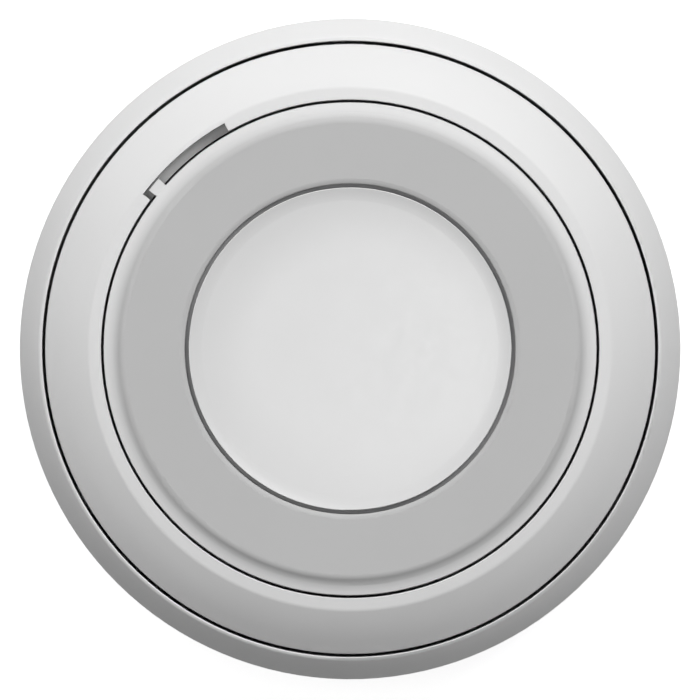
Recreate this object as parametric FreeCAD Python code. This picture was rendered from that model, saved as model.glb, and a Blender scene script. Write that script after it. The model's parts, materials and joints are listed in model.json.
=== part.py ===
import FreeCAD
import Part
import math
import os

# A round wireless panic button that lies on its back or hangs on a wall.
# A holder with a wide front ring takes a pod with the press button. The pod lifts out of the
# holder, and a twist ring round it locks it in. Sizes are millimetres and angles are degrees.
# +Z points out of the button's face, +Y is up on the wall, and z = 0 is the back face.

# Ring widths of the face, from the middle outwards
cap_r = 15.58            # radius of the press cap
cap_groove = 0.38        # open groove round the press cap
light_w = 6.40           # grey light ring
rim_w = 1.43             # white rim of the twist ring
ring_gap = 0.27          # shut line between the twist ring and the front ring
lip_w = 1.06             # nearly flat inner lip of the front ring
shoulder_w = 0.27        # rounded shoulder between the lip and the band
slope_w = 4.09           # sloping band of the front ring
wall_gap = 0.32          # shut line between the front ring and the holder's wall
wall_w = 2.20            # bevelled top of the holder's wall

# How the face tilts outwards, ring by ring
bowl_tilt = 1.6          # where the middle of the press cap's finger dish meets its border
dish_w = 4.60            # width of the dish's rising border
dish_tilt = 6.0
brim_w = 1.25            # the steeper brim between that border and the groove
brim_tilt = 14.5
light_inner_w = 0.50     # rounded inner edge of the light ring
light_inner_tilt = 18.0
light_edge_w = 0.57      # rounded outer edge of the light ring
light_edge_tilt = 35.0
rim_knee_w = 0.50        # how far the twist ring's rim goes on rounding off
rim_knee_tilt = 18.0
rim_tilt = 10.0
lip_tilt = 7.0
slope_tilt_in = 23.5
slope_tilt_out = 36.0
wall_crown_w = 0.30      # rounded inner edge of the holder's wall
wall_crown_tilt = 8.0
wall_tilt_in = 45.0
wall_tilt_out = 59.0

# Small edge radii
cap_edge_r = 0.06
light_inner_r = 0.12
rim_edge_r = 0.08
lip_edge_r = 0.08
slope_edge_r = 0.10
wall_inner_edge_r = 0.08
wall_outer_edge_r = 0.15

# Clearances
run_gap = 0.10           # between faces that slide or turn on each other
side_gap = 0.25          # between the pod, the collar and the twist ring
key_gap = 0.15           # on either side of a key in its groove
pass_gap = 0.15          # left where one piece passes another when the pod is put together
window_gap = 0.25        # round a leg in its window
stop_gap = 0.15          # left under the press button at full travel
seat_gap = 0.20          # round a bought-in piece in its seat
grip_gap = 0.02          # round a screw's shank where it grips
hole_gap = 0.15          # round a screw's shank where it passes
head_gap = 0.25          # round a screw's head

# Holder
floor_t = 2.4
back_draft = 0.8         # how much smaller the holder is at the back than at the front edge
back_chamfer = 0.6
collar_t = 1.15          # upright collar with the bayonet slots
collar_drop = 0.40       # from the pod's flange down to the top of the collar
wall_hole_r = 2.1        # two countersunk holes for wall screws
wall_hole_pitch = 32.0
wall_hole_land = 0.9     # straight part of a wall screw hole
wall_head_r = 3.6        # countersink for a wall screw's head
pad_r = 12.6             # foam adhesive pad in the back
pad_t = 0.8

# Front ring and how it is fastened
lip_t = 3.2
band_t = 1.5
outer_skirt_t = 1.3
outer_skirt_h = 2.2
inner_skirt_t = 1.2
inner_skirt_h = 7.2
ring_boss_r = 2.1
ring_boss_count = 3
ring_boss_first = 90.0
holder_boss_r = 3.3
holder_boss_h = 3.6

# Twist ring, and the tab and slot that show how far it is turned
twist = 17.7             # travel of the twist ring
tab_angle = 140.05       # where the tab stands, from +X towards +Y
tab_w = 1.46
tab_reach = 0.94         # how far the tab stands out of the twist ring
tab_t = 2.90
tab_slack = 0.66         # free slot on either side of the tab's travel
slot_tip_gap = 0.23      # between the tab's tip and the slot's outer wall
slot_depth = 3.00
skirt_t = 1.43
captive_w = 2.0          # inward flange that the pod's frame holds down
captive_t = 1.0
ledge_w = 1.2            # ledge that carries the light ring
ledge_t = 1.0
lug_count = 3
lug_first = 20.0
lug_angle = 14.0
lug_h = 1.6
lug_reach = 1.05
lug_drop = 1.5           # from the top of the collar down to the top of a lug
lug_side_gap = 0.35

# Pod shell and frame
tub_wall = 1.2
tub_floor_t = 1.2
tub_foot_h = 0.4
tub_foot_w = 1.8
tub_flange_t = 1.1
tub_boss_r = 2.9
tub_boss_count = 3
tub_boss_first = 90.0
key_count = 3
key_first = 60.0
key_w = 3.0
key_reach = 0.75
key_h = 6.5
key_rise = 1.6           # from the tub's floor up to a key
frame_t = 1.0
spigot_w = 0.8
frame_boss_r = 2.1
cup_r = 6.0              # spring cup in the middle of the frame
cup_wall = 1.0
cup_floor_t = 0.8
cup_gap = 0.2            # from the switch up to the cup

# Press button
press_travel = 0.8
cap_t = 1.3              # thickness in the middle of the dish
groove_depth = 1.40
carrier_rim_w = 1.1      # rim round the cap that the light ring holds down
carrier_t = 0.8
pusher_r = 2.0
pusher_gap = 0.65        # from the switch's plunger up to the pusher
peg_r = 0.9
peg_count = 3
peg_first = 90.0
peg_at = 8.6
leg_count = 3
leg_first = 30.0
leg_at = 11.4
leg_w = 4.0
leg_t = 1.4
hook_reach = 0.8
hook_h = 1.0
hook_gap = 0.05
light_t = 1.6

# Return spring under the press button
spring_r = 4.9
spring_wire_r = 0.3
spring_turns = 3.5

# Light guide between the lamps and the light ring
guide_gap = 0.3
guide_post_r = 1.35
guide_window_r = 1.6

# Circuit board and what stands on it
board_t = 1.0
board_edge_gap = 0.25
board_room = 5.0         # free height above the board inside the tub
switch_w = 6.0
switch_h = 3.4
plunger_r = 1.75
plunger_up = 1.0
plunger_depth = 1.3
plunger_travel = 0.2
plunger_gap = 0.05
lamp_count = 6
lamp_w = 1.6
lamp_h = 0.7
lamp_inset = 1.7
part_gap = 1.3           # from a lamp in to the radio module or the buzzer
radio_l = 8.2
radio_w = 10.0
radio_h = 2.2
radio_edge_r = 0.4
buzzer_r = 4.3
buzzer_h = 2.5
buzzer_hole_r = 0.9
buzzer_hole_depth = 1.0
aerial_r = 1.4
aerial_wire_r = 0.25
aerial_turns = 7
aerial_pitch = 1.3
aerial_inset = 5.7       # from the board's edge in to the aerial's axis
chip_w = 5.0
chip_h = 0.9
chip_inset = 9.5         # from the board's edge in to the middle of the chip
small_chip_l = 2.0
small_chip_w = 1.2
small_chip_h = 0.8
small_chip_x = 5.0
small_chip_pitch = 2.4
small_chip_rows = 3

# Coin cell and its contacts
cell_r = 10.0
cell_t = 3.2
cell_cap_r = 8.9
cell_cap_t = 0.4
cradle_wall = 0.8
cradle_h = 3.0
strap_w = 6.0
strap_t = 0.3
strap_foot = 1.5
strap_reach = 12.2
contact_h = 0.8
contact_t = 0.25
contact_in_r = 1.6
contact_out_r = 4.2

# Screws
screw_r = 1.0
screw_head_r = 1.9
screw_head_h = 1.3
screw_recess = 0.7       # how deep a screw's head lies below the face round it
screw_grip = 4.0
screw_spare = 1.0        # free pilot hole past the screw's tip
cross_l = 2.0
cross_w = 0.5
cross_depth = 0.7


def drop(width, tilt_from, tilt_to):
    """How far an arc falls over width while its tilt changes."""
    start, end = math.radians(tilt_from), math.radians(tilt_to)
    radius = width / (math.sin(end) - math.sin(start))
    return radius * (math.cos(start) - math.cos(end))


# Radii that follow from the ring widths
light_in = cap_r + cap_groove
rim_in = light_in + light_w
rim_out = rim_in + rim_w
lip_in = rim_out + ring_gap
shoulder_in = lip_in + lip_w
slope_in = shoulder_in + shoulder_w
slope_out = slope_in + slope_w
wall_in = slope_out + wall_gap
wall_out = wall_in + wall_w
back_r = wall_out - back_draft
skirt_in = rim_out - skirt_t
captive_in = skirt_in - captive_w
ledge_in = skirt_in - ledge_w
lug_in = skirt_in - lug_reach
collar_out = skirt_in - side_gap
collar_in = collar_out - collar_t
tub_out = collar_in - side_gap
tub_in = tub_out - tub_wall
tub_flange_r = lug_in - pass_gap
key_r = tub_out + key_reach
spigot_out = captive_in - side_gap
frame_r = ledge_in - pass_gap
board_r = tub_in - board_edge_gap
carrier_r = cap_r + carrier_rim_w
light_step_r = carrier_r + side_gap
bowl_r = cap_r - brim_w - dish_w
guide_in = light_step_r
guide_out = ledge_in - guide_gap
lamp_at = board_r - lamp_inset
radio_x = lamp_at - lamp_w / 2 - part_gap - radio_l / 2
buzzer_x = lamp_w / 2 + part_gap + buzzer_r - lamp_at
aerial_y = aerial_inset - board_r
chip_y = board_r - chip_inset
tub_boss_at = tub_in - tub_boss_r + run_gap
ring_boss_at = (lip_in + slope_out) / 2
tab_out = rim_out + tab_reach
slot_out = tab_out + slot_tip_gap

# Heights that follow from what stands on what
tub_floor_z = floor_t + tub_foot_h
strap_z = tub_floor_z + tub_floor_t
cell_z = strap_z + strap_t
contact_z = cell_z + cell_t
board_z = contact_z + contact_h
board_top_z = board_z + board_t
tub_top_z = board_top_z + board_room
captive_z = tub_top_z + run_gap
frame_z = captive_z + captive_t + run_gap
frame_top_z = frame_z + frame_t
switch_top_z = board_top_z + switch_h
plunger_top_z = switch_top_z + plunger_up
cup_z = switch_top_z + cup_gap
spring_z = cup_z + cup_floor_t
carrier_z = frame_top_z + press_travel + stop_gap
cap_z = carrier_z + carrier_t
dish_z = cap_z + cap_t
collar_z = tub_top_z - tub_flange_t - collar_drop
lug_top_z = collar_z - lug_drop
lug_z = lug_top_z - lug_h
key_z = tub_floor_z + key_rise
holder_boss_z = floor_t + holder_boss_h

# Heights of the face, from the dish outwards
border_z = dish_z - drop(bowl_r, 0, -bowl_tilt)
brim_z = border_z - drop(dish_w, -bowl_tilt, -dish_tilt)
face_z = brim_z - drop(brim_w, -dish_tilt, -brim_tilt)
light_edge_z = face_z - drop(light_edge_w, 0, light_edge_tilt)
rim_knee_z = light_edge_z - drop(rim_knee_w, light_edge_tilt, rim_knee_tilt)
lip_z = rim_knee_z - drop(rim_w - rim_knee_w, rim_knee_tilt, rim_tilt)
shoulder_z = lip_z - lip_w * math.tan(math.radians(lip_tilt))
slope_z = shoulder_z - drop(shoulder_w, lip_tilt, slope_tilt_in)
slope_low_z = slope_z - drop(slope_w, slope_tilt_in, slope_tilt_out)
groove_z = face_z - groove_depth
light_z = face_z - light_t
light_step_z = groove_z + run_gap
slot_z = slope_z - slot_depth
lip_under_z = slope_z - lip_t
band_under_z = slope_low_z - band_t

# Screws, from the back: the head's seat and the shank's length
hole_r = screw_r + hole_gap
grip_r = screw_r + grip_gap
bore_r = screw_head_r + head_gap
ring_seat_z = screw_recess + screw_head_h
ring_screw_l = holder_boss_z - ring_seat_z + screw_grip
pod_seat_z = tub_floor_z + screw_recess + screw_head_h
pod_screw_l = board_top_z - pod_seat_z + screw_grip


def around(count, first):
    """Evenly spaced angles round the axis."""
    return [first + 360.0 * n / count for n in range(count)]


def place(radius, angle, z=0.0):
    """The point at that radius and angle round the axis."""
    turn = math.radians(angle)
    return FreeCAD.Vector(radius * math.cos(turn), radius * math.sin(turn), z)


middle = place(0, 0)
ring_boss_places = [place(ring_boss_at, angle) for angle in around(ring_boss_count, ring_boss_first)]
tub_boss_places = [place(tub_boss_at, angle) for angle in around(tub_boss_count, tub_boss_first)]
lamp_places = [place(lamp_at, angle) for angle in around(lamp_count, 0.0)]


class Outline:
    """A closed outline beside the axis, made of straight and curved edges and turned into a solid."""

    def __init__(self, r, z):
        self.start = FreeCAD.Vector(r, 0, z)
        self.here = self.start
        self.edges = []

    def line(self, r, z):
        there = FreeCAD.Vector(r, 0, z)
        self.edges.append(Part.LineSegment(self.here, there).toShape())
        self.here = there
        return self

    def arc(self, halfway, end):
        self.edges.append(Part.Arc(self.here, halfway, end).toShape())
        self.here = end
        return self

    def fall(self, tilt_from, tilt_to, width):
        """An arc outwards over width, whose tilt changes on the way."""
        start, end = math.radians(tilt_from), math.radians(tilt_to)
        radius = width / (math.sin(end) - math.sin(start))
        points = []
        for tilt in ((start + end) / 2, end):
            outwards = radius * (math.sin(tilt) - math.sin(start))
            down = radius * (math.cos(start) - math.cos(tilt))
            points.append(self.here + FreeCAD.Vector(outwards, 0, -down))
        return self.arc(*points)

    def corner(self, r, z, next_r, next_z, radius):
        """A line to the corner at (r, z), rounded there towards (next_r, next_z)."""
        corner = FreeCAD.Vector(r, 0, z)
        back = (self.here - corner).normalize()
        ahead = (FreeCAD.Vector(next_r, 0, next_z) - corner).normalize()
        half = back.getAngle(ahead) / 2
        reach = radius / math.tan(half)
        first = corner + back * reach
        inward = (back + ahead).normalize()
        halfway = corner + inward * (radius / math.sin(half) - radius)
        self.line(first.x, first.z)
        return self.arc(halfway, corner + ahead * reach)

    def edge(self, r, tilt, next_r, next_z, radius):
        """A straight run outwards at that tilt to radius r, rounded there towards the next point."""
        z = self.here.z - (r - self.here.x) * math.tan(math.radians(tilt))
        return self.corner(r, z, next_r, next_z, radius)

    def turned(self):
        self.line(self.start.x, self.start.z)
        return Part.Face(Part.Wire(self.edges)).revolve(middle, FreeCAD.Vector(0, 0, 1), 360)


def drum(radius, low, high, centre=middle):
    """An upright cylinder between two heights."""
    return Part.makeCylinder(radius, high - low, FreeCAD.Vector(centre.x, centre.y, low))


def ring(inner, outer, low, high):
    return drum(outer, low, high).cut(drum(inner, low, high))


def block(length, width, low, high, x=0.0, y=0.0):
    """An upright block centred on (x, y)."""
    return Part.makeBox(length, width, high - low, FreeCAD.Vector(x - length / 2, y - width / 2, low))


def spoke(inner, outer, width, low, high, angle):
    """A block that runs outwards from inner to outer at an angle round the axis."""
    made = block(outer - inner, width, low, high, (inner + outer) / 2)
    made.rotate(middle, FreeCAD.Vector(0, 0, 1), angle)
    return made


def sector(inner, outer, low, high, angle_from, angle_to):
    """Part of a ring between two angles."""
    half = (angle_from + angle_to) / 2
    bow = Part.Arc(place(outer, angle_from, low), place(outer, half, low), place(outer, angle_to, low))
    hollow = Part.Arc(place(inner, angle_to, low), place(inner, half, low), place(inner, angle_from, low))
    edges = [
        bow.toShape(),
        Part.LineSegment(place(outer, angle_to, low), place(inner, angle_to, low)).toShape(),
        hollow.toShape(),
        Part.LineSegment(place(inner, angle_from, low), place(outer, angle_from, low)).toShape(),
    ]
    return Part.Face(Part.Wire(edges)).extrude(FreeCAD.Vector(0, 0, high - low))


def joined(whole, shapes):
    for shape in shapes:
        whole = whole.fuse(shape)
    return whole.removeSplitter()


def without(whole, shapes):
    for shape in shapes:
        whole = whole.cut(shape)
    return whole


def coil(radius, wire_r, pitch, height):
    """A round wire wound upwards from z = 0."""
    path = Part.Wire(Part.makeHelix(pitch, height, radius))
    lead = FreeCAD.Vector(0, 2 * math.pi * radius, pitch)
    section = Part.Wire(Part.makeCircle(wire_r, FreeCAD.Vector(radius, 0, 0), lead))
    return path.makePipeShell([section], True, True)


def screw(centre, seat_z, length):
    """A pan head screw that points up, with a cross recess in its head."""
    head_z = seat_z - screw_head_h
    body = drum(screw_head_r, head_z, seat_z, centre).fuse(drum(screw_r, seat_z, seat_z + length, centre))
    cross = [block(cross_l, cross_w, head_z, head_z + cross_depth, centre.x, centre.y),
             block(cross_w, cross_l, head_z, head_z + cross_depth, centre.x, centre.y)]
    return without(body, cross).removeSplitter()


def screw_bores(places, face_z, seat_z, top_z):
    """Room for screws that come in from below: a wide bore for each head and a hole for its shank."""
    bores = []
    for centre in places:
        bores.append(drum(bore_r, face_z - run_gap, seat_z, centre))
        bores.append(drum(hole_r, seat_z - run_gap, top_z + run_gap, centre))
    return bores


def pilot_holes(places, low):
    """Blind holes that screws cut their thread into."""
    return [drum(grip_r, low - run_gap, low + screw_grip + screw_spare, centre) for centre in places]


def wall_screw_hole(x):
    cone_h = floor_t - wall_hole_land
    land = drum(wall_hole_r, -run_gap, floor_t, FreeCAD.Vector(x, 0, 0))
    return land.fuse(Part.makeCone(wall_hole_r, wall_head_r, cone_h, FreeCAD.Vector(x, 0, wall_hole_land)))


def bayonet_slots():
    """A lug goes down its entry and then turns under the top of the collar."""
    half = lug_angle / 2 + math.degrees(lug_side_gap / lug_in)
    low = lug_z - side_gap
    slots = []
    for angle in around(lug_count, lug_first):
        entry = sector(collar_in - run_gap, collar_out + run_gap, low, collar_z + run_gap,
                       angle - half, angle + half)
        run = sector(collar_in - run_gap, collar_out + run_gap, low, lug_top_z + run_gap,
                     angle - half - twist, angle + half)
        slots.append(entry.fuse(run))
    return slots


def keyways():
    """Grooves in the collar that stop the pod from turning."""
    return [spoke(collar_in - side_gap, key_r + key_gap, key_w + 2 * key_gap, key_z - side_gap,
                  collar_z + run_gap, angle) for angle in around(key_count, key_first)]


def holder():
    """The cup that is screwed or stuck to the wall, with its bevelled wall and bayonet collar."""
    outline = Outline(0, floor_t)
    outline.line(collar_in, floor_t).line(collar_in, collar_z).line(collar_out, collar_z)
    outline.line(collar_out, floor_t).line(wall_in, floor_t)
    ahead_z = slope_low_z - math.tan(math.radians(wall_crown_tilt))
    outline.corner(wall_in, slope_low_z, wall_in + 1, ahead_z, wall_inner_edge_r)
    outline.fall(wall_crown_tilt, wall_tilt_in, wall_crown_w)
    outline.fall(wall_tilt_in, wall_tilt_out, wall_out - 2 * wall_outer_edge_r - outline.here.x)
    outline.edge(wall_out, wall_tilt_out, back_r, back_chamfer, wall_outer_edge_r)
    outline.line(back_r, back_chamfer).line(back_r - back_chamfer, 0).line(0, 0)
    bosses = [drum(holder_boss_r, floor_t / 2, holder_boss_z, centre) for centre in ring_boss_places]
    body = joined(outline.turned(), bosses)
    cuts = screw_bores(ring_boss_places, 0, ring_seat_z, holder_boss_z)
    cuts += [wall_screw_hole(x) for x in (-wall_hole_pitch / 2, wall_hole_pitch / 2)]
    cuts += [drum(pad_r + seat_gap, -run_gap, pad_t)]
    return without(body, cuts + bayonet_slots() + keyways())


def adhesive_pad():
    return drum(pad_r, 0, pad_t)


def front_ring():
    """The wide ring of the face: a nearly flat lip, a falling band, two skirts and three bosses."""
    outline = Outline(lip_in, holder_boss_z)
    outline.corner(lip_in, lip_z, shoulder_in, shoulder_z, lip_edge_r)
    outline.line(shoulder_in, shoulder_z)
    outline.fall(lip_tilt, slope_tilt_in, shoulder_w)
    outline.fall(slope_tilt_in, slope_tilt_out, slope_w - 2 * slope_edge_r)
    outline.edge(slope_out, slope_tilt_out, slope_out, holder_boss_z, slope_edge_r)
    outline.line(slope_out, holder_boss_z)
    hollow = Outline(rim_out, holder_boss_z - run_gap)
    hollow.line(wall_in, holder_boss_z - run_gap)
    hollow.line(wall_in, slope_low_z - outer_skirt_h)
    hollow.line(slope_out - outer_skirt_t, slope_low_z - outer_skirt_h)
    hollow.line(slope_out - outer_skirt_t, band_under_z).line(lip_in + inner_skirt_t, lip_under_z)
    hollow.line(lip_in + inner_skirt_t, lip_under_z - inner_skirt_h)
    hollow.line(rim_out, lip_under_z - inner_skirt_h)
    bosses = [drum(ring_boss_r, holder_boss_z - side_gap, lip_z, centre) for centre in ring_boss_places]
    body = outline.turned().cut(without(hollow.turned(), bosses))
    return without(body, [tab_slot()] + pilot_holes(ring_boss_places, holder_boss_z))


def tab_slot():
    """The recess in the lip that the tab travels in, open towards the twist ring."""
    half = math.degrees(tab_w / 2 / tab_out)
    slack = math.degrees(tab_slack / tab_out)
    return sector(rim_out, slot_out, slot_z, lip_z + run_gap,
                  tab_angle - half - slack - twist, tab_angle + half + slack)


def ring_screws():
    return Part.makeCompound([screw(centre, ring_seat_z, ring_screw_l) for centre in ring_boss_places])


def twist_ring():
    """The ring that turns round the pod: rim, tab, ledge, captive flange and bayonet lugs."""
    outline = Outline(skirt_in, lug_z)
    outline.line(skirt_in, captive_z).line(captive_in, captive_z)
    outline.line(captive_in, captive_z + captive_t).line(skirt_in, captive_z + captive_t)
    outline.line(skirt_in, light_z - ledge_t).line(ledge_in, light_z - ledge_t)
    outline.line(ledge_in, light_z).line(rim_in, light_z).line(rim_in, light_edge_z)
    outline.fall(light_edge_tilt, rim_knee_tilt, rim_knee_w)
    outline.fall(rim_knee_tilt, rim_tilt, rim_w - rim_knee_w - 2 * rim_edge_r)
    outline.edge(rim_out, rim_tilt, rim_out, lug_z, rim_edge_r)
    outline.line(rim_out, lug_z)
    half = math.degrees(tab_w / 2 / tab_out)
    root = rim_out - skirt_t / 2
    parts = [sector(root, tab_out, lip_z - tab_t, lip_z, tab_angle - half, tab_angle + half)]
    for angle in around(lug_count, lug_first):
        parts.append(sector(lug_in, rim_out - skirt_t / 2, lug_z, lug_top_z,
                            angle - lug_angle / 2, angle + lug_angle / 2))
    return joined(outline.turned(), parts)


def light_ring():
    """The grey ring that glows round the press cap."""
    outline = Outline(light_in, light_step_z)
    edge_w = 2 * light_inner_r
    arc_w = light_inner_w - edge_w
    arc_z = face_z + drop(arc_w, -light_inner_tilt, 0)
    edge_z = arc_z - edge_w * math.tan(math.radians(light_inner_tilt))
    outline.corner(light_in, edge_z, light_in + edge_w, arc_z, light_inner_r)
    outline.line(light_in + edge_w, arc_z)
    outline.fall(-light_inner_tilt, 0, arc_w)
    outline.line(rim_in - light_edge_w, face_z)
    outline.fall(0, light_edge_tilt, light_edge_w)
    outline.line(rim_in, light_z).line(light_step_r, light_z).line(light_step_r, light_step_z)
    return outline.turned()


def pod_tub():
    """The lower shell of the pod, with a flange, keys and bosses for the board."""
    outline = Outline(0, tub_floor_z)
    outline.line(tub_out - tub_foot_w, tub_floor_z).line(tub_out - tub_foot_w, floor_t)
    outline.line(tub_out, floor_t).line(tub_out, tub_top_z - tub_flange_t)
    outline.line(tub_flange_r, tub_top_z - tub_flange_t).line(tub_flange_r, tub_top_z)
    outline.line(tub_in, tub_top_z).line(tub_in, strap_z).line(0, strap_z)
    parts = [drum(tub_boss_r, tub_floor_z, board_z, centre) for centre in tub_boss_places]
    for angle in around(key_count, key_first):
        parts.append(spoke(tub_out - tub_wall / 2, key_r, key_w, key_z, key_z + key_h, angle))
    body = joined(outline.turned(), parts)
    return without(body, screw_bores(tub_boss_places, tub_floor_z, pod_seat_z, board_z))


def pod_screws():
    return Part.makeCompound([screw(centre, pod_seat_z, pod_screw_l) for centre in tub_boss_places])


def pod_frame():
    """The upper plate of the pod: it holds the twist ring and the board down and carries the spring."""
    plate = drum(frame_r, frame_z, frame_top_z)
    parts = [ring(spigot_out - spigot_w, spigot_out, tub_top_z, frame_z)]
    parts += [drum(cup_r + cup_wall, cup_z, frame_top_z)]
    parts += [drum(frame_boss_r, board_top_z, frame_z, centre) for centre in tub_boss_places]
    cuts = [drum(cup_r, spring_z, frame_top_z)]
    cuts += [drum(pusher_r + window_gap, cup_z, spring_z)]
    cuts += [drum(guide_window_r, frame_z, frame_top_z, centre) for centre in lamp_places]
    cuts += pilot_holes(tub_boss_places, board_top_z)
    for angle in around(leg_count, leg_first):
        cuts.append(spoke(leg_at - leg_t / 2 - window_gap, leg_at + leg_t / 2 + window_gap,
                          leg_w + 2 * window_gap, frame_z, frame_top_z, angle))
    return without(joined(plate, parts), cuts)


def light_guide():
    """A clear ring under the light ring, with a post down to each lamp."""
    post_low = board_top_z + lamp_h + guide_gap
    posts = [drum(guide_post_r, post_low, frame_top_z, centre) for centre in lamp_places]
    return joined(ring(guide_in, guide_out, frame_top_z, light_z - guide_gap), posts)


def press_cap():
    """The cap with its shallow finger dish and three pegs below."""
    outline = Outline(0, dish_z)
    outline.fall(0, -bowl_tilt, bowl_r)
    outline.fall(-bowl_tilt, -dish_tilt, dish_w)
    outline.fall(-dish_tilt, -brim_tilt, brim_w - 2 * cap_edge_r)
    outline.edge(cap_r, -brim_tilt, cap_r, groove_z, cap_edge_r)
    outline.line(cap_r, cap_z).line(0, cap_z)
    pegs = [drum(peg_r, carrier_z, cap_z + cap_t / 2, place(peg_at, angle))
            for angle in around(peg_count, peg_first)]
    return joined(outline.turned(), pegs)


def button_carrier():
    """The tray that the cap sits in, with a pusher for the switch and legs that hook under the frame."""
    parts = [ring(cap_r + grip_gap, carrier_r, cap_z, groove_z)]
    parts += [drum(pusher_r, plunger_top_z + pusher_gap, carrier_z)]
    hook_z = frame_z - hook_gap - hook_h
    leg_in, leg_out = leg_at - leg_t / 2, leg_at + leg_t / 2
    for angle in around(leg_count, leg_first):
        parts.append(spoke(leg_in, leg_out, leg_w, hook_z, carrier_z, angle))
        parts.append(spoke(leg_in, leg_out + hook_reach, leg_w, hook_z, hook_z + hook_h, angle))
    body = joined(drum(carrier_r, carrier_z, cap_z), parts)
    holes = [drum(peg_r + grip_gap, carrier_z, cap_z, place(peg_at, angle))
             for angle in around(peg_count, peg_first)]
    return without(body, holes)


def return_spring():
    height = carrier_z - spring_z - 2 * spring_wire_r
    made = coil(spring_r, spring_wire_r, height / spring_turns, height)
    made.translate(FreeCAD.Vector(0, 0, spring_z + spring_wire_r))
    return made


def circuit_board():
    holes = [drum(hole_r, board_z, board_top_z, centre) for centre in tub_boss_places]
    return without(drum(board_r, board_z, board_top_z), holes)


def push_switch():
    well_low = switch_top_z - plunger_depth - plunger_travel - plunger_gap
    body = block(switch_w, switch_w, board_top_z, switch_top_z)
    return body.cut(drum(plunger_r + plunger_gap, well_low, switch_top_z))


def switch_plunger():
    return drum(plunger_r, switch_top_z - plunger_depth, plunger_top_z)


def lamps():
    made = []
    for angle in around(lamp_count, 0.0):
        made.append(spoke(lamp_at - lamp_w / 2, lamp_at + lamp_w / 2, lamp_w,
                          board_top_z, board_top_z + lamp_h, angle))
    return Part.makeCompound(made)


def radio_module():
    """A shield can over the radio chip."""
    can = block(radio_l, radio_w, board_top_z, board_top_z + radio_h, radio_x)
    upright = [edge for edge in can.Edges if abs(edge.tangentAt(0).z) > 0.9]
    return can.makeFillet(radio_edge_r, upright)


def aerial():
    """A small helical aerial that lies on the board."""
    length = aerial_turns * aerial_pitch
    made = coil(aerial_r, aerial_wire_r, aerial_pitch, length)
    made.translate(FreeCAD.Vector(0, 0, -length / 2))
    made.rotate(middle, FreeCAD.Vector(0, 1, 0), 90)
    made.translate(FreeCAD.Vector(0, aerial_y, board_top_z + aerial_r + aerial_wire_r))
    return made


def buzzer():
    centre = FreeCAD.Vector(buzzer_x, 0, 0)
    top_z = board_top_z + buzzer_h
    body = drum(buzzer_r, board_top_z, top_z, centre)
    return body.cut(drum(buzzer_hole_r, top_z - buzzer_hole_depth, top_z, centre))


def control_chip():
    return block(chip_w, chip_w, board_top_z, board_top_z + chip_h, 0, chip_y)


def small_chips():
    """Small parts in two columns beside the control chip."""
    made = []
    for side in (-1, 1):
        for row in range(small_chip_rows):
            y = chip_y + (row - (small_chip_rows - 1) / 2) * small_chip_pitch
            made.append(block(small_chip_l, small_chip_w, board_top_z, board_top_z + small_chip_h,
                              side * small_chip_x, y))
    return Part.makeCompound(made)


def coin_cell():
    can = drum(cell_r, cell_z, contact_z - cell_cap_t)
    return can.fuse(drum(cell_cap_r, contact_z - cell_cap_t, contact_z)).removeSplitter()


def cell_cradle():
    """A low wall round the coin cell, open where the strap leaves."""
    inner = cell_r + seat_gap
    wall = ring(inner, inner + cradle_wall, strap_z, strap_z + cradle_h)
    return wall.cut(spoke(cell_r / 2, strap_reach + strap_t, strap_w + 2 * seat_gap,
                          strap_z, strap_z + cradle_h, -90))


def cell_strap():
    """The contact under the cell: it runs out beside the cell and up to the board."""
    flat = block(strap_w, strap_reach + cell_r / 2, strap_z, cell_z, 0, (cell_r / 2 - strap_reach) / 2)
    rise = block(strap_w, strap_t, strap_z, board_z, 0, -strap_reach + strap_t / 2)
    foot = block(strap_w, strap_foot, board_z - strap_t, board_z, 0, -strap_reach - strap_foot / 2 + strap_t)
    return joined(flat, [rise, foot])


def cell_contact():
    """A cone-shaped spring contact between the cell and the board."""
    outline = Outline(contact_in_r, contact_z)
    outline.line(contact_in_r + contact_t, contact_z)
    outline.line(contact_out_r + contact_t, board_z).line(contact_out_r, board_z)
    return outline.turned()


pieces = {
    "holder": holder,
    "adhesive_pad": adhesive_pad,
    "front_ring": front_ring,
    "ring_screws": ring_screws,
    "twist_ring": twist_ring,
    "light_ring": light_ring,
    "pod_tub": pod_tub,
    "pod_screws": pod_screws,
    "pod_frame": pod_frame,
    "light_guide": light_guide,
    "press_cap": press_cap,
    "button_carrier": button_carrier,
    "return_spring": return_spring,
    "circuit_board": circuit_board,
    "push_switch": push_switch,
    "switch_plunger": switch_plunger,
    "lamps": lamps,
    "radio_module": radio_module,
    "aerial": aerial,
    "buzzer": buzzer,
    "control_chip": control_chip,
    "small_chips": small_chips,
    "coin_cell": coin_cell,
    "cell_cradle": cell_cradle,
    "cell_strap": cell_strap,
    "cell_contact": cell_contact,
}

os.makedirs("parts", exist_ok=True)
for name, make in pieces.items():
    shape = make()
    shape.exportStep(f"parts/{name}.step")
    print(f"{name}: {len(shape.Solids)} solids, {shape.Volume:.1f} mm3, valid {shape.isValid()}")
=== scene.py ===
import json
import math

import bmesh
import bpy
from mathutils import Matrix, Vector


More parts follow.
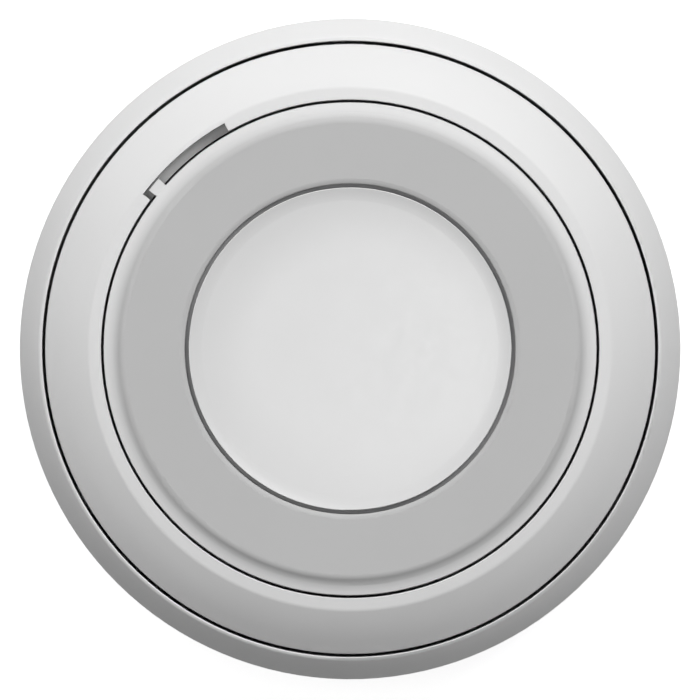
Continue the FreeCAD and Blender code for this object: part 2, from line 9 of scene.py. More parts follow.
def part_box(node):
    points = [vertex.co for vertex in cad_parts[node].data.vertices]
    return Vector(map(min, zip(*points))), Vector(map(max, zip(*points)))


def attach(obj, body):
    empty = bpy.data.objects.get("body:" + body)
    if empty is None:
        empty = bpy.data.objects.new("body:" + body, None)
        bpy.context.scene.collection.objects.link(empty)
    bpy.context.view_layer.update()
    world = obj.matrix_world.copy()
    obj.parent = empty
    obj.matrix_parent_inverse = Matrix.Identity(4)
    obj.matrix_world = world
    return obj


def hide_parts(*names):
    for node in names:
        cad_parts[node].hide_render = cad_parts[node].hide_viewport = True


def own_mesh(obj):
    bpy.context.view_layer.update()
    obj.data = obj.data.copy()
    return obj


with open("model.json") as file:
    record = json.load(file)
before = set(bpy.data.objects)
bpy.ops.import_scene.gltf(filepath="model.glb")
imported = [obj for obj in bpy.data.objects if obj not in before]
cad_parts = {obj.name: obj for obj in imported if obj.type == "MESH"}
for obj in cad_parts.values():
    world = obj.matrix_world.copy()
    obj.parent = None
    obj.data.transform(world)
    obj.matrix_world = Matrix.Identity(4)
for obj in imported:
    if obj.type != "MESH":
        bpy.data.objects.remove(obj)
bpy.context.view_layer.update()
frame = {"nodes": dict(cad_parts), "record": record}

MM = 0.001

# The camera looks straight down on the face, with the top of the photograph along +Y
RIM_R_PX = 330.35            # radius of the object's outline in the photograph
CENTRE_PX = (350.11, 348.94)
IMAGE_PX = 700
LENS_LENGTH = 800.0
SENSOR = 36.0
CLIP_NEAR = 0.01
CLIP_FAR = 100.0
RIM_SLACK = 0.02 * MM        # how far inside the outline a corner still counts as its rim

# Two large soft lamps towards the photograph's top, and a small one by the camera
LAMPS = {                    # watts, degrees from +X and from the zenith, width and height in metres
    "key_left": (6.45, 117, 55, 1.3, 0.6),
    "key_right": (9.42, 58.5, 40.6, 0.8, 0.7),
    "glint": (2.85, 183, 4.7, 0.32, 0.32),
}
LAMP_FAR = 1.25              # how far each lamp is from the origin

# The pale floor
FLOOR_REACH = 6.0            # half its width
FLOOR_COLOUR = 0.50
FLOOR_ROUGH = 0.9
FLOOR_GLOW = 0.87            # added to the floor near the object where it is seen, so that it shows white
FLOOR_NEAR = 0.06            # from here outwards the glow grows to 1
FLOOR_FAR = 0.50

# Colours and finishes of the face
WHITE = 0.78                 # holder and front ring
RIM_WHITE = 0.985 * WHITE    # twist ring
CAP_WHITE = 0.94 * WHITE
GREY = 0.675 * WHITE         # light ring
SHELL_SATIN = 0.50           # roughness of holder, front ring and twist ring
CAP_SATIN = 0.31             # roughness of the cap
MATTE = 0.60                 # roughness of the light ring
RIM_SHADE_W = 1.45 * MM      # how far painted shade reaches into the rim beside the light ring
RIM_SHADE_FADE = 2.0         # how quickly that painted shade fades
SLOT_SHADE_GREY = 0.48             # painted shade on the floor of the tab's slot, a darker grey
SLOT_R = 24.96 * MM          # outer radius of that slot
SLOT_FLOOR_Z = 16.353 * MM
SLOT_SHADE_EDGE = 0.01 * MM       # how soft the border of that painted shade is

# Most of a noise lies between these two
NOISE_LOW = 0.3
NOISE_HIGH = 0.7

# Surface of moulded plastic
CLOUD_SIZE = 9 * MM
CLOUD_SHADE = 0.985
SHEEN_SIZE = 0.6 * MM
SHEEN_SPREAD = 0.03
SPARK_SIZE = 0.14 * MM       # grain of the moulded faces
SPARK_DEPTH = 0.0004 * MM

# Surface of metal: a pattern is drawn out along the axis with the small number
ALONG_X = (0.08, 1, 1)
ALONG_Y = (1, 0.1, 1)
ALONG_Z = (1, 1, 0.2)
EVERY_WAY = (1, 1, 1)
MARK_SIZE = 0.08 * MM
MARK_SHADE = 0.78
MARK_SPREAD = 0.08
MARK_DEPTH = 0.0008 * MM

# Surfaces of the clear guide and the board
CLEAR_IOR = 1.49
TRACK_SIZE = 3.2 * MM
TRACK_WAVES = 38.0           # how closely the board's tracks lie
TRACK_DEPTH = 0.02 * MM

# How the meshes are joined and shaded
WELD = 0.0005 * MM
SHARP = math.radians(28)     # edges sharper than this stay crisp
EDGE_STEPS = 3               # segments of a rounded edge
SORT_DECIMALS = 6            # how finely places are compared when solids are put in order
SQUARE = ((1, 1), (-1, 1), (-1, -1), (1, -1))

# Screws, head down: the head's outline is given as shares of its radius and mm up from its top
SCREW_HEAD = ((0.45, 0.02), (0.70, 0.10), (0.86, 0.24), (0.96, 0.46), (1.0, 0.75), (1.0, 1.22), (0.96, 1.3))
SCREW_HEAD_H = 1.3 * MM
SCREW_CORE_R = 0.80 * MM
SCREW_THREAD = 0.19 * MM     # how far the thread stands out of the core
SCREW_PITCH = 0.8 * MM
THREAD_STEEP = 1.7           # how steep the thread's flanks are
THREAD_START = 0.5           # turns next to the head without a thread
SCREW_POINT = 1.2 * MM       # length of the tapered end
POINT_SHARE = 0.3            # radius of the tip as a share of the core's
SCREW_STEPS = 28             # corners round the screw
SCREW_SLICES = 8             # rings of corners to a turn of the thread
CROSS_TOP = (1.05 * MM, 0.27 * MM)    # half length and half width of a slot where its cutter starts
CROSS_LOW = (0.45 * MM, 0.17 * MM)    # the same where the cutter ends
CROSS_DEPTH = 0.75 * MM
CROSS_CLEAR = 0.1 * MM       # how far the cutter stands out of the head

# Lamps: LENS, PIN, RIVET and LEG are outlines of (outwards, up) in mm
LENS = ((0, 0.125), (0.20, 0.115), (0.38, 0.085), (0.50, 0.045), (0.56, 0.0), (0.56, -0.2), (0, -0.2))
LENS_STEPS = 32
LENS_ROOM = 0.13 * MM        # height that the body leaves for the lens
LAMP_EDGE_R = 0.08 * MM

# Pins of the control chip and tinned ends of the small parts
PIN = ((-0.1, 0.52), (0.10, 0.52), (0.20, 0.46), (0.32, 0.14), (0.60, 0.14), (0.60, 0.0), (0.22, 0.0),
       (0.08, 0.36), (-0.1, 0.38))
PIN_PITCH = 0.8 * MM
PIN_W = 0.32 * MM
PINS_A_SIDE = 5
END_L = 0.42 * MM
END_PROUD = 0.02 * MM
END_EDGE_R = 0.06 * MM

# Steel cover of the push switch
COVER_T = 0.25 * MM
COVER_RISE = 0.03 * MM       # how far it stands over the housing
COVER_HOLE_R = 1.9 * MM
COVER_STEPS = 48             # corners round the hole
RIVET = ((0, 0.12), (0.25, 0.10), (0.38, 0.0), (0.38, -0.1), (0, -0.1))
RIVET_AT = 2.35 * MM
RIVET_STEPS = 20
LEG = ((0.0, 0.5), (0.12, 0.5), (0.20, 0.14), (0.95, 0.14), (0.95, 0.0), (0.0, 0.0))
LEG_AT = 2.2 * MM
LEG_W = 0.7 * MM

# Coin cell: distances in from its rim in mm, with heights over its foot or depths below its top
CELL_FOOT = ((0.45, 0), (0.22, 0.05), (0.06, 0.2), (0, 0.42))
CELL_CROWN = ((0, 0.75), (0.08, 0.52), (0.35, 0.40), (0.85, 0.38), (0.98, 0.55), (1.10, 0.55),
              (1.16, 0.18), (1.38, 0.02), (1.9, 0))
CELL_STEPS = 128

# Return spring
SPRING_WIRE_R = 0.3 * MM
SPRING_TURNS = 3.5
SPRING_CLOSE = 0.25          # how much closer together the turns lie at the spring's ends
SPRING_STEPS = 168           # along the wire
SPRING_SIDES = 12            # round the wire


def make_camera():
    low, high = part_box("holder")
    rim_r = (high.x - low.x) / 2
    corners = frame["nodes"]["holder"].data.vertices
    rim_z = max(corner.co.z for corner in corners if corner.co.xy.length > rim_r - RIM_SLACK)
    frame_w = rim_r / RIM_R_PX * IMAGE_PX
    data = bpy.data.cameras.new("camera")
    data.lens = LENS_LENGTH
    data.sensor_width = SENSOR
    data.shift_x = (IMAGE_PX / 2 - CENTRE_PX[0]) / IMAGE_PX
    data.shift_y = (CENTRE_PX[1] - IMAGE_PX / 2) / IMAGE_PX
    data.clip_start = CLIP_NEAR
    data.clip_end = CLIP_FAR
    camera = bpy.data.objects.new("camera", data)
    camera.location = (0, 0, rim_z + frame_w * LENS_LENGTH / SENSOR)
    bpy.context.scene.collection.objects.link(camera)
    bpy.context.scene.camera = camera


class Finish:
    """A procedural material whose pattern lies in the object's own coordinates."""

    def __init__(self, name, colour, roughness, metallic=0.0):
        self.material = bpy.data.materials.new(name)
        self.material.use_nodes = True
        self.nodes = self.material.node_tree.nodes
        self.links = self.material.node_tree.links
        self.shader = self.nodes["Principled BSDF"]
        self.shader.inputs["Base Color"].default_value = (*colour, 1)
        self.shader.inputs["Metallic"].default_value = metallic
        self.shader.inputs["Roughness"].default_value = roughness
        self.place = self.nodes.new("ShaderNodeTexCoord").outputs["Object"]
        self.colour = colour
        self.roughness = roughness
        self.normal = None

    def stretched(self, scale):
        """The pattern's coordinates, finer along an axis with a larger number."""
        scaled = self.nodes.new("ShaderNodeMapping")
        scaled.inputs["Scale"].default_value = scale
        self.links.new(self.place, scaled.inputs["Vector"])
        return scaled.outputs["Vector"]

    def noise(self, size, detail=2.0, place=None):
        """Soft spots about that size, from 0 to 1."""
        made = self.nodes.new("ShaderNodeTexNoise")
        made.inputs["Scale"].default_value = 1 / size
        made.inputs["Detail"].default_value = detail
        self.links.new(place or self.place, made.inputs["Vector"])
        return made.outputs["Fac"]

    def cells(self, size, distance="EUCLIDEAN"):
        """Distance from the nearest of many scattered points, as a share of the size."""
        made = self.nodes.new("ShaderNodeTexVoronoi")
        made.distance = distance
        made.inputs["Scale"].default_value = 1 / size
        self.links.new(self.place, made.inputs["Vector"])
        return made.outputs["Distance"]

    def ramp(self, value, start, end, low=0.0, high=1.0):
        """Low up to the start, high from the end on, and even in between."""
        made = self.nodes.new("ShaderNodeMapRange")
        limits = {"From Min": start, "From Max": end, "To Min": low, "To Max": high}
        for socket, number in limits.items():
            made.inputs[socket].default_value = number
        self.links.new(value, made.inputs["Value"])
        return made.outputs[0]

    def maths(self, operation, value, second=None):
        """One operation on a value, with a number or another value as its second term."""
        made = self.nodes.new("ShaderNodeMath")
        made.operation = operation
        self.links.new(value, made.inputs[0])
        if isinstance(second, float):
            made.inputs[1].default_value = second
        elif second is not None:
            self.links.new(second, made.inputs[1])
        return made.outputs[0]

    def radius(self):
        """Distance from the button's axis."""
        flat = self.nodes.new("ShaderNodeVectorMath")
        flat.operation = "MULTIPLY"
        flat.inputs[1].default_value = (1, 1, 0)
        self.links.new(self.place, flat.inputs[0])
        length = self.nodes.new("ShaderNodeVectorMath")
        length.operation = "LENGTH"
        self.links.new(flat.outputs["Vector"], length.inputs[0])
        return length.outputs["Value"]

    def height(self):
        """Height over the back face."""
        apart = self.nodes.new("ShaderNodeSeparateXYZ")
        self.links.new(self.place, apart.inputs[0])
        return apart.outputs["Z"]

    def tint(self, factor, shade):
        """Mixes another colour in where the factor is 1."""
        mix = self.nodes.new("ShaderNodeMix")
        mix.data_type = "RGBA"
        first, second = [socket for socket in mix.inputs if socket.type == "RGBA"]
        if isinstance(self.colour, tuple):
            first.default_value = (*self.colour, 1)
        else:
            self.links.new(self.colour, first)
        second.default_value = (*shade, 1)
        self.links.new(factor, mix.inputs["Factor"])
        self.colour = next(socket for socket in mix.outputs if socket.type == "RGBA")
        self.links.new(self.colour, self.shader.inputs["Base Color"])
        return self

    def rough(self, factor, spread):
        """Spreads the roughness round its value by a noise."""
        varied = self.ramp(factor, NOISE_LOW, NOISE_HIGH, self.roughness - spread, self.roughness + spread)
        self.links.new(varied, self.shader.inputs["Roughness"])
        return self

    def bump(self, height, depth):
        """Raises the surface where the height is 1."""
        made = self.nodes.new("ShaderNodeBump")
        made.inputs["Distance"].default_value = depth
        self.links.new(height, made.inputs["Height"])
        if self.normal:
            self.links.new(self.normal, made.inputs["Normal"])
        self.normal = made.outputs["Normal"]
        self.links.new(self.normal, self.shader.inputs["Normal"])
        return self


def grey(level):
    return (level, level, level)


def darker(colour, share):
    return tuple(share * channel for channel in colour)


def moulded(name, colour, roughness, spark_size=SPARK_SIZE, spark_depth=SPARK_DEPTH):
    """Moulded plastic: a very slight cloudiness, an uneven sheen and the fine grain of the mould."""
    made = Finish(name, colour, roughness)
    clouds = made.ramp(made.noise(CLOUD_SIZE), start=0.35, end=0.65)
    made.tint(clouds, darker(colour, CLOUD_SHADE))
    made.rough(made.noise(SHEEN_SIZE, detail=3), SHEEN_SPREAD)
    return made.bump(made.noise(spark_size, detail=1), spark_depth)


def shell_white():
    """White, with painted shade on the floor of the slot that the tab travels in."""
    made = moulded("shell_white", grey(WHITE), SHELL_SATIN)
    near = made.ramp(made.radius(), SLOT_R, SLOT_R + SLOT_SHADE_EDGE, 1.0, 0.0)
    above = made.ramp(made.height(), SLOT_FLOOR_Z - 2 * SLOT_SHADE_EDGE, SLOT_FLOOR_Z - SLOT_SHADE_EDGE)
    below = made.ramp(made.height(), SLOT_FLOOR_Z + SLOT_SHADE_EDGE, SLOT_FLOOR_Z + 2 * SLOT_SHADE_EDGE, 1.0, 0.0)
    # painted shade: the slot's floor is greyed where shade falls in that deep recess
    slot_shade = made.maths("MULTIPLY", made.maths("MULTIPLY", above, below), near)
    return made.tint(slot_shade, grey(SLOT_SHADE_GREY))


def ring_white():
    """White, with painted shade that greys the rim next to the light ring."""
    made = moulded("ring_white", grey(RIM_WHITE), SHELL_SATIN)
    rim_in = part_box("light_ring")[1].x
    near = made.ramp(made.radius(), rim_in, rim_in + RIM_SHADE_W, 1.0, 0.0)
    # painted shade: greyer towards the light ring, where the rim meets it
    return made.tint(made.maths("POWER", near, RIM_SHADE_FADE), grey(GREY))


def cap_white():
    return moulded("cap_white", grey(CAP_WHITE), CAP_SATIN)


def light_grey():
    return moulded("light_grey", grey(GREY), MATTE)


def pod_white():
    return moulded("pod_white", (0.72, 0.72, 0.71), roughness=0.45,
                   spark_size=0.22 * MM, spark_depth=0.003 * MM)


# Dark grey so that the floor of the groove round the cap shows dark: painted shade in that groove
def carrier_grey():
    return moulded("carrier_grey", (0.30, 0.30, 0.305), roughness=0.5)


def frame_black():
    return moulded("frame_black", (0.025, 0.025, 0.028), roughness=0.42,
                   spark_size=0.2 * MM, spark_depth=0.002 * MM)


def buzzer_black():
    return moulded("buzzer_black", grey(0.02), roughness=0.5,
                   spark_size=0.3 * MM, spark_depth=0.003 * MM)


def switch_black():
    return moulded("switch_black", grey(0.015), roughness=0.3)


def plunger_grey():
    return moulded("plunger_grey", (0.12, 0.12, 0.125), roughness=0.4)


def chip_black():
    """Chip resin, with its fine sand-like grain."""
    made = Finish("chip_black", (0.02, 0.02, 0.022), roughness=0.55)
    made.tint(made.noise(size=0.05 * MM), (0.035, 0.035, 0.037))
    return made.bump(made.noise(size=0.08 * MM), depth=0.003 * MM)


def chip_brown():
    """Ceramic body of the small capacitors."""
    made = Finish("chip_brown", (0.24, 0.14, 0.07), roughness=0.45)
    spots = made.ramp(made.noise(size=0.3 * MM), start=0.4, end=0.7)
    return made.tint(spots, (0.30, 0.19, 0.10))


def guide_clear():
    """Frosted clear plastic."""
    made = Finish("guide_clear", (0.93, 0.94, 0.95), roughness=0.35)
    made.shader.inputs["Transmission Weight"].default_value = 1.0
    made.shader.inputs["IOR"].default_value = CLEAR_IOR
    made.rough(made.noise(size=0.5 * MM), spread=0.05)
    return made.bump(made.noise(size=0.1 * MM), depth=0.002 * MM)


def foam_grey():
    """Closed-cell foam: small round cells with darker pits."""
    made = Finish("foam_grey", (0.42, 0.42, 0.40), roughness=0.85)
    pores = made.cells(size=0.35 * MM)
    pits = made.ramp(pores, start=0.1, end=0.45, low=1.0, high=0.0)
    pale = made.ramp(made.noise(size=4 * MM), start=0.45, end=0.75, high=0.4)
    made.tint(pits, (0.24, 0.24, 0.23))
    made.tint(pale, (0.50, 0.50, 0.48))
    return made.bump(made.ramp(pores, start=0.0, end=0.5), depth=0.05 * MM)


def lamp_white():
    made = Finish("lamp_white", (0.80, 0.78, 0.62), roughness=0.35)
    return made.rough(made.noise(size=0.4 * MM), spread=0.05)


def lamp_lens():
    """Yellow phosphor in clear resin."""
    made = Finish("lamp_lens", (0.80, 0.55, 0.08), roughness=0.2)
    grains = made.ramp(made.noise(size=0.15 * MM), start=0.4, end=0.7, high=0.5)
    return made.tint(grains, (0.85, 0.68, 0.20))


def board_green():
    """Solder mask over copper tracks that run square to each other."""
    made = Finish("board_green", (0.012, 0.10, 0.04), roughness=0.28)
    phase = made.maths("MULTIPLY", made.cells(TRACK_SIZE, "CHEBYCHEV"), TRACK_WAVES)
    tracks = made.ramp(made.maths("SINE", phase), start=0.55, end=0.65)
    made.tint(tracks, (0.035, 0.19, 0.07))
    return made.bump(tracks, TRACK_DEPTH)


def metal(name, colour, roughness, drawn, size=MARK_SIZE):
    """Metal with fine marks, drawn along an axis or the same every way."""
    made = Finish(name, colour, roughness, metallic=1.0)
    marks = made.noise(size, detail=3, place=made.stretched(drawn))
    made.tint(made.ramp(marks, start=0.35, end=0.75, high=0.5), darker(colour, MARK_SHADE))
    made.rough(marks, MARK_SPREAD)
    return made.bump(marks, MARK_DEPTH)


def can_steel():
    return metal("can_steel", (0.62, 0.62, 0.63), roughness=0.30, drawn=ALONG_X)


def cell_steel():
    return metal("cell_steel", (0.66, 0.66, 0.67), roughness=0.26, drawn=ALONG_X)


def contact_nickel():
    return metal("contact_nickel", (0.60, 0.58, 0.54), roughness=0.28, drawn=ALONG_Y)


def screw_steel():
    return metal("screw_steel", (0.58, 0.59, 0.61), roughness=0.32, drawn=EVERY_WAY, size=0.2 * MM)


def spring_steel():
    return metal("spring_steel", (0.52, 0.52, 0.54), roughness=0.30, drawn=ALONG_Z)


def aerial_brass():
    return metal("aerial_brass", (0.72, 0.50, 0.18), roughness=0.25, drawn=EVERY_WAY, size=0.15 * MM)


def dress_nodes():
    """Gives every CAD node the finish of its slot in the record."""
    for part in frame["record"]["subparts"]:
        materials = frame["nodes"][part["node"]].data.materials
        materials.clear()
        materials.append(finishes[part["material_slot"]])


def soft_lamp(name, power, azimuth, from_zenith, width, height):
    """A soft lamp that looks at the face, its width level with the floor."""
    data = bpy.data.lights.new(name, "AREA")
    data.shape = "ELLIPSE"
    data.size = width
    data.size_y = height
    data.energy = power
    lean = math.radians(from_zenith)
    towards_lamp = polar(math.sin(lean), math.radians(azimuth), math.cos(lean))
    light = bpy.data.objects.new(name, data)
    light.location = LAMP_FAR * towards_lamp
    light.rotation_mode = "QUATERNION"
    light.rotation_quaternion = towards_lamp.to_track_quat("Z", "Y")
    bpy.context.scene.collection.objects.link(light)


def seen_ray(nodes, links):
    """1 where the camera, a reflection or a ray through something clear sees the surface."""
    path = nodes.new("ShaderNodeLightPath")
    either = path.outputs["Is Camera Ray"]
    for kind in ("Is Glossy Ray", "Is Transmission Ray"):
        larger = nodes.new("ShaderNodeMath")
        larger.operation = "MAXIMUM"
        links.new(either, larger.inputs[0])
        links.new(path.outputs[kind], larger.inputs[1])
        either = larger.outputs[0]
    return either


def floor_glow(nodes, links):
    """White where the floor is seen: weaker near the object, so that its shadow shows there."""
    place = nodes.new("ShaderNodeTexCoord")
    length = nodes.new("ShaderNodeVectorMath")
    length.operation = "LENGTH"
    links.new(place.outputs["Object"], length.inputs[0])
    rise = nodes.new("ShaderNodeMapRange")
    for socket, number in (("From Min", FLOOR_NEAR), ("From Max", FLOOR_FAR), ("To Min", FLOOR_GLOW)):
        rise.inputs[socket].default_value = number
    links.new(length.outputs["Value"], rise.inputs["Value"])
    seen = nodes.new("ShaderNodeMath")
    seen.operation = "MULTIPLY"
    links.new(rise.outputs[0], seen.inputs[0])
    links.new(seen_ray(nodes, links), seen.inputs[1])
    return seen.outputs[0]


def make_floor():
    mesh = bpy.data.meshes.new("floor")
    corners = [(x * FLOOR_REACH, y * FLOOR_REACH, 0) for x, y in SQUARE]
    mesh.from_pydata(corners, [], [(0, 1, 2, 3)])
    floor = bpy.data.objects.new("floor", mesh)
    bpy.context.scene.collection.objects.link(floor)
    material = bpy.data.materials.new("floor")
    material.use_nodes = True
    nodes, links = material.node_tree.nodes, material.node_tree.links
    shader = nodes["Principled BSDF"]
    shader.inputs["Base Color"].default_value = (*grey(FLOOR_COLOUR), 1)
    shader.inputs["Roughness"].default_value = FLOOR_ROUGH
    shader.inputs["Emission Color"].default_value = (1, 1, 1, 1)
    links.new(floor_glow(nodes, links), shader.inputs["Emission Strength"])
    mesh.materials.append(material)


def make_world():
    """White where it is seen, and dark to every other ray."""
    world = bpy.data.worlds.new("world")
    bpy.context.scene.world = world
    world.use_nodes = True
    nodes, links = world.node_tree.nodes, world.node_tree.links
    background = nodes["Background"]
    background.inputs["Color"].default_value = (1, 1, 1, 1)
    links.new(seen_ray(nodes, links), background.inputs["Strength"])


def polar(radius, angle, height):
    return Vector((radius * math.cos(angle), radius * math.sin(angle), height))


def around(count, first=0.0):
    """Evenly spaced angles round a circle, the first of them that many steps on from +X."""
    return [math.tau * (first + k) / count for k in range(count)]


def in_metres(outline):
    return [(u * MM, v * MM) for u, v in outline]


def box_of(points):
    """The lowest and highest corner of a box round the points."""
    return [Vector([pick(values) for values in zip(*points)]) for pick in (min, max)]


def put(bm, part):
    """Adds one bmesh to another."""
    mesh = bpy.data.meshes.new("part")
    part.to_mesh(mesh)
    part.free()
    bm.from_mesh(mesh)
    bpy.data.meshes.remove(mesh)


def round_edges(part, radius):
    bmesh.ops.bevel(part, geom=part.edges[:], offset=radius, segments=EDGE_STEPS, affect="EDGES", profile=0.5)


def block(bm, low, high, radius):
    """A block between two corners, with rounded edges."""
    part = bmesh.new()
    bmesh.ops.create_cube(part, size=1)
    size, middle = high - low, (high + low) / 2
    for vert in part.verts:
        vert.co = vert.co * size + middle
    round_edges(part, radius)
    put(bm, part)


def skin(part, rings):
    """Faces between rings of corners, each of which may be a single point."""
    for low, high in zip(rings, rings[1:]):
        for k in range(max(len(low), len(high))):
            corners = [low[k % len(low)], low[(k + 1) % len(low)],
                       high[(k + 1) % len(high)], high[k % len(high)]]
            part.faces.new(list(dict.fromkeys(corners)))


def lathe(bm, profile, centre, steps):
    """A profile of (radius, height) points turned round an upright axis."""
    part = bmesh.new()
    rings = []
    for radius, height in profile:
        angles = around(steps) if radius else [0]
        rings.append([part.verts.new(centre + polar(radius, angle, height)) for angle in angles])
    skin(part, rings)
    put(bm, part)


def prism(bm, outline, width, place):
    """A flat outline of (outwards, up) points given a width, then moved by the matrix."""
    part = bmesh.new()
    sides = []
    for across in (-width / 2, width / 2):
        sides.append([part.verts.new(place @ Vector((u, across, v))) for u, v in outline])
    part.faces.new(sides[0])
    part.faces.new(sides[1][::-1])
    for k in range(len(outline)):
        after = (k + 1) % len(outline)
        part.faces.new([sides[0][k], sides[0][after], sides[1][after], sides[1][k]])
    put(bm, part)


def solids_of(node):
    """The lowest and highest corner of each separate solid of a CAD node."""
    bm = bmesh.new()
    bm.from_mesh(frame["nodes"][node].data)
    bmesh.ops.remove_doubles(bm, verts=bm.verts, dist=WELD)
    left = set(bm.verts)
    boxes = []
    while left:
        stack = [left.pop()]
        reached = []
        while stack:
            vert = stack.pop()
            reached.append(vert.co.copy())
            for edge in vert.link_edges:
                other = edge.other_vert(vert)
                if other in left:
                    left.remove(other)
                    stack.append(other)
        boxes.append(box_of(reached))
    bm.free()
    return sorted(boxes, key=lambda box: tuple(round(value, SORT_DECIMALS) for value in box[0]))


def piece(name, bm, slot, body, replaces=None, material=None):
    """An object from a bmesh, smooth except along its real edges, that rides on a body."""
    bmesh.ops.remove_doubles(bm, verts=bm.verts, dist=WELD)
    bmesh.ops.recalc_face_normals(bm, faces=bm.faces)
    for face in bm.faces:
        face.smooth = True
    for edge in bm.edges:
        edge.smooth = len(edge.link_faces) == 2 and edge.calc_face_angle(0) < SHARP
    mesh = bpy.data.meshes.new(name)
    bm.to_mesh(mesh)
    bm.free()
    mesh.materials.append(material or finishes[slot])
    made = bpy.data.objects.new(name, mesh)
    bpy.context.scene.collection.objects.link(made)
    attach(made, body)
    if replaces:
        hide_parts(replaces)
    return made


def carved(bm, cutters):
    """A bmesh with other bmeshes cut out of it."""
    objects = []
    for part in [bm] + cutters:
        bmesh.ops.recalc_face_normals(part, faces=part.faces)
        mesh = bpy.data.meshes.new("part")
        part.to_mesh(mesh)
        part.free()
        objects.append(bpy.data.objects.new("part", mesh))
        bpy.context.scene.collection.objects.link(objects[-1])
    whole = objects[0]
    for cutter in objects[1:]:
        modifier = whole.modifiers.new("cut", "BOOLEAN")
        modifier.operation = "DIFFERENCE"
        modifier.solver = "EXACT"
        modifier.object = cutter
    graph = bpy.context.evaluated_depsgraph_get()
    result = bpy.data.meshes.new_from_object(whole.evaluated_get(graph))
    made = bmesh.new()
    made.from_mesh(result)
    meshes = [used.data for used in objects] + [result]
    for used in objects:
        bpy.data.objects.remove(used)
    for mesh in meshes:
        bpy.data.meshes.remove(mesh)
    return made


def thread_r(z, length, angle):
    """Radius of a screw's shank at a height over its seat and an angle."""
    along = (z / SCREW_PITCH - angle / math.tau) % 1
    crest = max(0.0, 1 - THREAD_STEEP * abs(2 * along - 1))
    start = min(1.0, max(0.0, z / SCREW_PITCH - THREAD_START))
    taper = min(1.0, (length - z) / SCREW_POINT)
    core_r = SCREW_CORE_R * (POINT_SHARE + (1 - POINT_SHARE) * taper)
    return core_r + SCREW_THREAD * crest * start * taper


def recess_blade(axis, turn):
    """Tapered cutter for one of the two slots of a cross recess."""
    blade = bmesh.new()
    spin = Matrix.Rotation(turn, 3, "Z")
    ends = []
    for (half_l, half_w), z in ((CROSS_TOP, -CROSS_CLEAR), (CROSS_LOW, CROSS_DEPTH)):
        ends.append([blade.verts.new(axis + spin @ Vector((x * half_l, y * half_w, z))) for x, y in SQUARE])
    skin(blade, ends)
    blade.faces.new(ends[0][::-1])
    blade.faces.new(ends[1])
    return blade


def screw(bm, low, high):
    """A pan head screw with a cross recess, head down, in the box of its plain solid."""
    head_r = (high.x - low.x) / 2
    axis = Vector(((low.x + high.x) / 2, (low.y + high.y) / 2, low.z))
    length = high.z - low.z - SCREW_HEAD_H
    angles = around(SCREW_STEPS)
    part = bmesh.new()
    rings = [[part.verts.new(axis)]]
    for share, height in SCREW_HEAD:
        rings.append([part.verts.new(axis + polar(share * head_r, angle, height * MM)) for angle in angles])
    slices = round(SCREW_SLICES * length / SCREW_PITCH)
    for n in range(slices + 1):
        z = length * n / slices
        rings.append([part.verts.new(axis + polar(thread_r(z, length, angle), angle, SCREW_HEAD_H + z))
                      for angle in angles])
    rings.append([part.verts.new(axis + Vector((0, 0, SCREW_HEAD_H + length)))])
    skin(part, rings)
    put(bm, carved(part, [recess_blade(axis, turn) for turn in (0, math.pi / 2)]))


def make_screws(node, body):
    bm = bmesh.new()
    for low, high in solids_of(node):
        screw(bm, low, high)
    piece("fine_" + node, bm, "screw_steel", body, replaces=node)


def make_lamps():
    """Surface lamps: a white body with a low yellow lens in its top."""
    bodies, lenses = bmesh.new(), bmesh.new()
    bodies.from_mesh(frame["nodes"]["lamps"].data)
    bmesh.ops.remove_doubles(bodies, verts=bodies.verts, dist=WELD)
    foot_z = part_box("lamps")[0].z
    for vert in bodies.verts:
        if vert.co.z > foot_z + LENS_ROOM:
            vert.co.z -= LENS_ROOM
    round_edges(bodies, LAMP_EDGE_R)
    for low, high in solids_of("lamps"):
        top = Vector(((low.x + high.x) / 2, (low.y + high.y) / 2, high.z - LENS_ROOM))
        lathe(lenses, in_metres(LENS), top, LENS_STEPS)
    piece("lamp_bodies", bodies, "lamp_white", "pod", replaces="lamps")
    piece("lamp_lenses", lenses, "lamp_white", "pod", material=lamp_lens().material)


def make_chip_pins():
    """Gull-wing pins on the four sides of the control chip."""
    low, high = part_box("control_chip")
    middle = (low + high) / 2
    foot = Matrix.Translation((middle.x, middle.y, low.z))
    bm = bmesh.new()
    for side in range(4):
        turned = foot @ Matrix.Rotation(side * math.pi / 2, 4, "Z")
        for n in range(PINS_A_SIDE):
            across = (n - (PINS_A_SIDE - 1) / 2) * PIN_PITCH
            place = turned @ Matrix.Translation(((high.x - low.x) / 2, across, 0))
            prism(bm, in_metres(PIN), PIN_W, place)
    piece("chip_pins", bm, "contact_nickel", "pod")


def make_chip_ends():
    """Tinned ends of the small ceramic parts."""
    bm = bmesh.new()
    for low, high in solids_of("small_chips"):
        front, back = low.y - END_PROUD, high.y + END_PROUD
        top = high.z + END_PROUD
        for left, right in ((low.x - END_PROUD, low.x + END_L), (high.x - END_L, high.x + END_PROUD)):
            block(bm, Vector((left, front, low.z)), Vector((right, back, top)), END_EDGE_R)
    piece("chip_ends", bm, "contact_nickel", "pod")


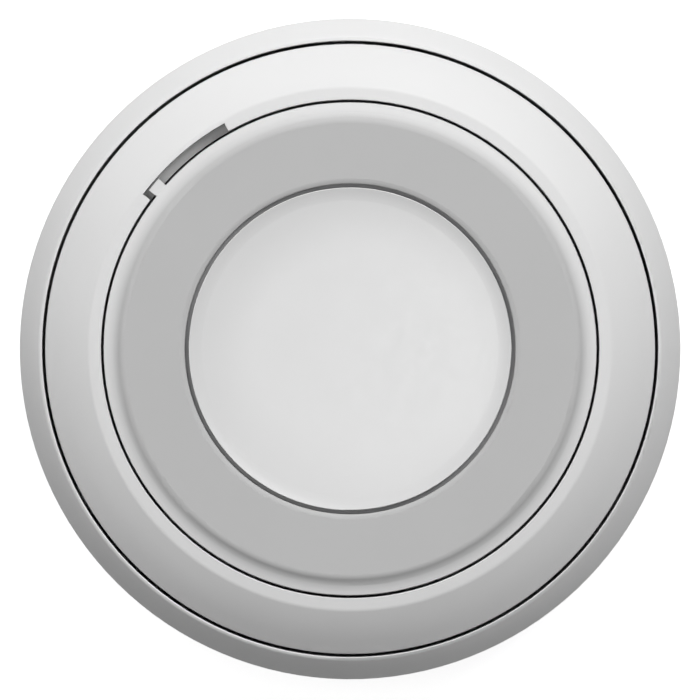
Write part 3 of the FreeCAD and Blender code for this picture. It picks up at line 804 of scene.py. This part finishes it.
def make_switch_cover():
    """Steel cover of the push switch, with a round hole, four rivets and four legs."""
    low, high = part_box("push_switch")
    half = (high.x - low.x) / 2
    top = high.z + COVER_RISE
    under = top - COVER_T
    angles = around(COVER_STEPS, first=0.5)
    hole = [COVER_HOLE_R] * COVER_STEPS
    edge = [half / max(abs(math.cos(angle)), abs(math.sin(angle))) for angle in angles]
    bm = bmesh.new()
    rings = []
    for reaches, z in ((hole, under), (hole, top), (edge, top), (edge, under), (hole, under)):
        rings.append([bm.verts.new(polar(reach, angle, z)) for reach, angle in zip(reaches, angles)])
    skin(bm, rings)
    for x, y in SQUARE:
        lathe(bm, in_metres(RIVET), Vector((x * RIVET_AT, y * RIVET_AT, top)), RIVET_STEPS)
        outwards = Matrix.Rotation(0 if x > 0 else math.pi, 4, "Z")
        prism(bm, in_metres(LEG), LEG_W, Matrix.Translation((x * half, y * LEG_AT, low.z)) @ outwards)
    piece("switch_cover", bm, "can_steel", "pod")


def make_cell():
    """Coin cell: a can crimped over a seal, and a raised cap."""
    low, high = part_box("coin_cell")
    radius, height = (high.x - low.x) / 2, high.z - low.z
    foot = [(radius - inwards, up) for inwards, up in in_metres(CELL_FOOT)]
    crown = [(radius - inwards, height - down) for inwards, down in in_metres(CELL_CROWN)]
    bm = bmesh.new()
    lathe(bm, [(0, 0)] + foot + crown + [(0, height)], Vector((0, 0, low.z)), CELL_STEPS)
    piece("cell_shell", bm, "cell_steel", "pod", replaces="coin_cell")


def make_spring():
    """Return spring under the press button; it moves with the button."""
    low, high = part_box("return_spring")
    coil_r = (high.x - low.x) / 2 - SPRING_WIRE_R
    rise = high.z - low.z - 2 * SPRING_WIRE_R
    upwards = Vector((0, 0, 1))
    bm = bmesh.new()
    rings = []
    for k in range(SPRING_STEPS + 1):
        share = k / SPRING_STEPS
        height = rise * (share - SPRING_CLOSE * math.sin(math.tau * share) / math.tau)
        outwards = polar(1, math.tau * SPRING_TURNS * share, 0)
        middle = coil_r * outwards + (low.z + SPRING_WIRE_R + height) * upwards
        section = [math.cos(side) * outwards + math.sin(side) * upwards for side in around(SPRING_SIDES)]
        rings.append([bm.verts.new(middle + SPRING_WIRE_R * offset) for offset in section])
    for end in (0, -1):
        bm.faces.new(rings[end])
    skin(bm, rings)
    spring = piece("fine_return_spring", bm, "spring_steel", "button", replaces="return_spring")
    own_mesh(spring)


finishes = {finish.__name__: finish().material for finish in (
    shell_white, ring_white, cap_white, light_grey, pod_white, carrier_grey, frame_black, guide_clear,
    foam_grey, board_green, switch_black, plunger_grey, lamp_white, can_steel, aerial_brass,
    buzzer_black, chip_black, chip_brown, cell_steel, contact_nickel, screw_steel, spring_steel)}
dress_nodes()
make_camera()
make_screws("ring_screws", "base")
make_screws("pod_screws", "pod")
make_lamps()
make_chip_pins()
make_chip_ends()
make_switch_cover()
make_cell()
make_spring()
make_floor()
make_world()
for name, values in LAMPS.items():
    soft_lamp(name, *values)
bpy.context.scene.view_settings.view_transform = "Standard"
